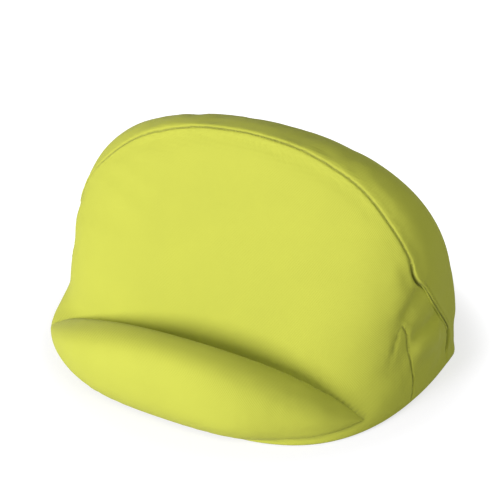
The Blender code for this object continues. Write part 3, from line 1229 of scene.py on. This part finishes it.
def grown(name, tree, rows, given, **values):
    """Run a node tree on a drawn line with values at its points, and keep the plain mesh it makes."""
    mesh = bpy.data.meshes.new(name)
    mesh.from_pydata([tuple(row) for row in rows], [(i, i + 1) for i in range(len(rows) - 1)], [])
    for label, numbers in values.items():
        kind, field = ("FLOAT_VECTOR", "vector") if numbers.ndim == 2 else ("FLOAT", "value")
        attribute = mesh.attributes.new(label, kind, "POINT")
        attribute.data.foreach_set(field, numbers.astype(np.float32).ravel())
    piece = link(bpy.data.objects.new(name, mesh))
    grow = piece.modifiers.new("grow", "NODES")
    grow.node_group = tree
    for item in tree.interface.items_tree:
        if item.in_out == "INPUT" and item.name in given:
            grow[item.identifier] = given[item.name]
    piece.data = evaluated_mesh(piece)
    piece.modifiers.clear()
    return piece


def join(name, pieces):
    """One object of several plain meshes."""
    bm = bmesh.new()
    for piece in pieces:
        bm.from_mesh(piece.data)
    mesh = bpy.data.meshes.new(name)
    bm.to_mesh(mesh)
    bm.free()
    for material in pieces[0].data.materials:
        mesh.materials.append(material)
    for piece in pieces:
        bpy.data.objects.remove(piece)
    mesh.shade_smooth()
    return link(bpy.data.objects.new(name, mesh))


# %% Raised seams
CORD_RADIUS = 0.00080
CORD_APART = 0.00088
CORD_SINK = 0.0007
CORD_END = (0, 0.006)
CORD_END_RADIUS = 0.25
CORD_SIDES = 14
CORD_SMOOTH = 6
CORD_STEP = 2
FURROW_SHADE = (0.55, 0, 0.0004)


def cord_tree():
    graph = Graph("cord", [("Material", "Material")])
    curve = graph.node("GeometryNodeMeshToCurve", None, {0: graph.given("Geometry")})
    given = {"Resolution": CORD_SIDES, "Radius": 1.0}
    ring = graph.node("GeometryNodeCurvePrimitiveCircle", None, given)
    given = {
        "Curve": curve,
        "Profile Curve": ring,
        "Scale": graph.drawn("radius", "FLOAT"),
        "Fill Caps": True,
    }
    return graph.done(graph.node("GeometryNodeCurveToMesh", None, given))


def cord_rows(line, kept, apart, whole):
    """The middle of a cord beside a line, laid on the sewn bag and sunk into it at both ends."""
    laid, _ = laid_on(sewn_tree, line.rows[kept] + line.across[kept] * apart)
    laid -= line.ups[kept] * (CORD_SINK * (1 - whole))[:, None]
    smooth = [laid[max(0, i - CORD_SMOOTH):i + CORD_SMOOTH + 1].mean(axis=0) for i in range(len(laid))]
    return np.array(smooth)[::CORD_STEP]


def welt(hand):
    """The two cords of one side's raised seam, as one piece."""
    line = lines["rear", hand]
    kept = (line.rows[:, 2] < CORD_TOP_Z) & (line.rows[:, 2] > CORD_FOOT_Z)
    length = line.length[kept]
    whole = ramp(np.minimum(length - length[0], length[-1] - length), *CORD_END)
    radius = (CORD_RADIUS * (CORD_END_RADIUS + (1 - CORD_END_RADIUS) * whole))[::CORD_STEP]
    halves = []
    for apart in (-CORD_APART, CORD_APART):
        rows = cord_rows(line, kept, apart, whole)
        halves.append(grown("cord", cords, rows, {"Material": welt_cloth}, radius=radius))
    piece = join(f"welt_{hand}", halves)
    # Painted shade in the furrow between the two cords.
    shade_seams(piece, mound(line.measure(places(piece.data))[1], *FURROW_SHADE))
    return piece


sewn_tree = tree_of(bag)
cords = cord_tree()
welts = {hand: welt(hand) for hand in SIDES}
print("raised seams", {hand: len(piece.data.polygons) for hand, piece in welts.items()})

# %% [markdown]
# ## Stitches
#
# The seams are sewn by machine with thread of the same green. A stitch is a short bead of thread, and
# the node tree sets one at every step along a drawn line, turned along it and lying on the cloth.

# %% Stitches
STITCH_PITCH = 0.0026
STITCH_LENGTH = 0.0017
STITCH_ASIDE = 0.0024
STITCH_THICKNESS = 0.00042
STITCH_RAISE = 0.00008
STITCH_UNEVEN = (0.9, 1.1)
STITCH_SEED = 7
CREST_FROM_Z = 0.088
BESIDE_FROM_Z = CORD_FOOT_Z + 0.008
DART_FROM = 0.002
THREAD = (0.36, 0.38, 0.045)
THREAD_SHADE = (0.20, 0.21, 0.03)


def stitch_tree():
    sizes = [(label, "Float") for label in ("Pitch", "Length", "Thickness")]
    graph = Graph("stitches", [*sizes, ("Material", "Material")])
    curve = graph.node("GeometryNodeMeshToCurve", None, {0: graph.given("Geometry")})
    given = {"Curve": curve, "Length": graph.given("Pitch")}
    even = graph.node("GeometryNodeResampleCurve", {"mode": "LENGTH"}, given)
    along = graph.node("GeometryNodeInputTangent")
    axes = {"primary_axis": "X", "secondary_axis": "Z"}
    given = {"Primary Axis": along, "Secondary Axis": graph.drawn("up", "FLOAT_VECTOR")}
    turned = graph.node("FunctionNodeAxesToRotation", axes, given)
    given = {"Segments": 8, "Rings": 6, "Radius": 0.5}
    bead = graph.node("GeometryNodeMeshUVSphere", None, given)
    thick = graph.given("Thickness")
    given = {"X": graph.given("Length"), "Y": thick, "Z": thick}
    size = graph.node("ShaderNodeCombineXYZ", None, given)
    shaped = graph.node("GeometryNodeTransform", None, {"Geometry": bead, "Scale": size})
    least, most = STITCH_UNEVEN
    given = {"Min": least, "Max": most, "Seed": STITCH_SEED}
    uneven = graph.node("FunctionNodeRandomValue", {"data_type": "FLOAT"}, given, "Value")
    given = {"Points": even, "Instance": shaped, "Rotation": turned, "Scale": uneven}
    return graph.done(graph.node("GeometryNodeInstanceOnPoints", None, given))


def stitched(name, line, kept, aside=0.0):
    """Stitches along the part of a line that is kept, or a little aside of it, laid on the sewn bag."""
    laid, ups = laid_on(sewn_tree, line.rows[kept] + line.across[kept] * aside)
    given = {
        "Pitch": STITCH_PITCH,
        "Length": STITCH_LENGTH,
        "Thickness": STITCH_THICKNESS,
        "Material": thread,
    }
    return grown(name, stitcher, laid + ups * STITCH_RAISE, given, up=ups)


thread = cloth_material("thread", THREAD, THREAD_SHADE)
stitcher = stitch_tree()
runs = []
for hand in SIDES:
    rear, dart = lines["rear", hand], lines["dart", hand]
    z = rear.rows[:, 2]
    runs.append(stitched("crest", rear, z > CREST_FROM_Z))
    runs.append(stitched("beside", rear, (z < CORD_TOP_Z) & (z > BESIDE_FROM_Z), STITCH_ASIDE))
    runs.append(stitched("dart", dart, dart.length > DART_FROM))
stitches = join("stitches", runs)
print("stitches", len(stitches.data.polygons), "faces")

# %% [markdown]
# ## Handing over
#
# Each piece rides on the frame's one body and takes the place of its measured solid. The stitches
# stand for no solid of their own, so they only ride along.

handed = [(bag, "body_cushion", "bag_cloth"), (lip, "front_lip", "lip_cloth")]
handed += [(piece, f"side_welt_{hand}", "welt_cloth") for hand, piece in welts.items()]
for piece, node, slot in handed:
    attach(piece, "root")
    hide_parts(node)
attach(stitches, "root")
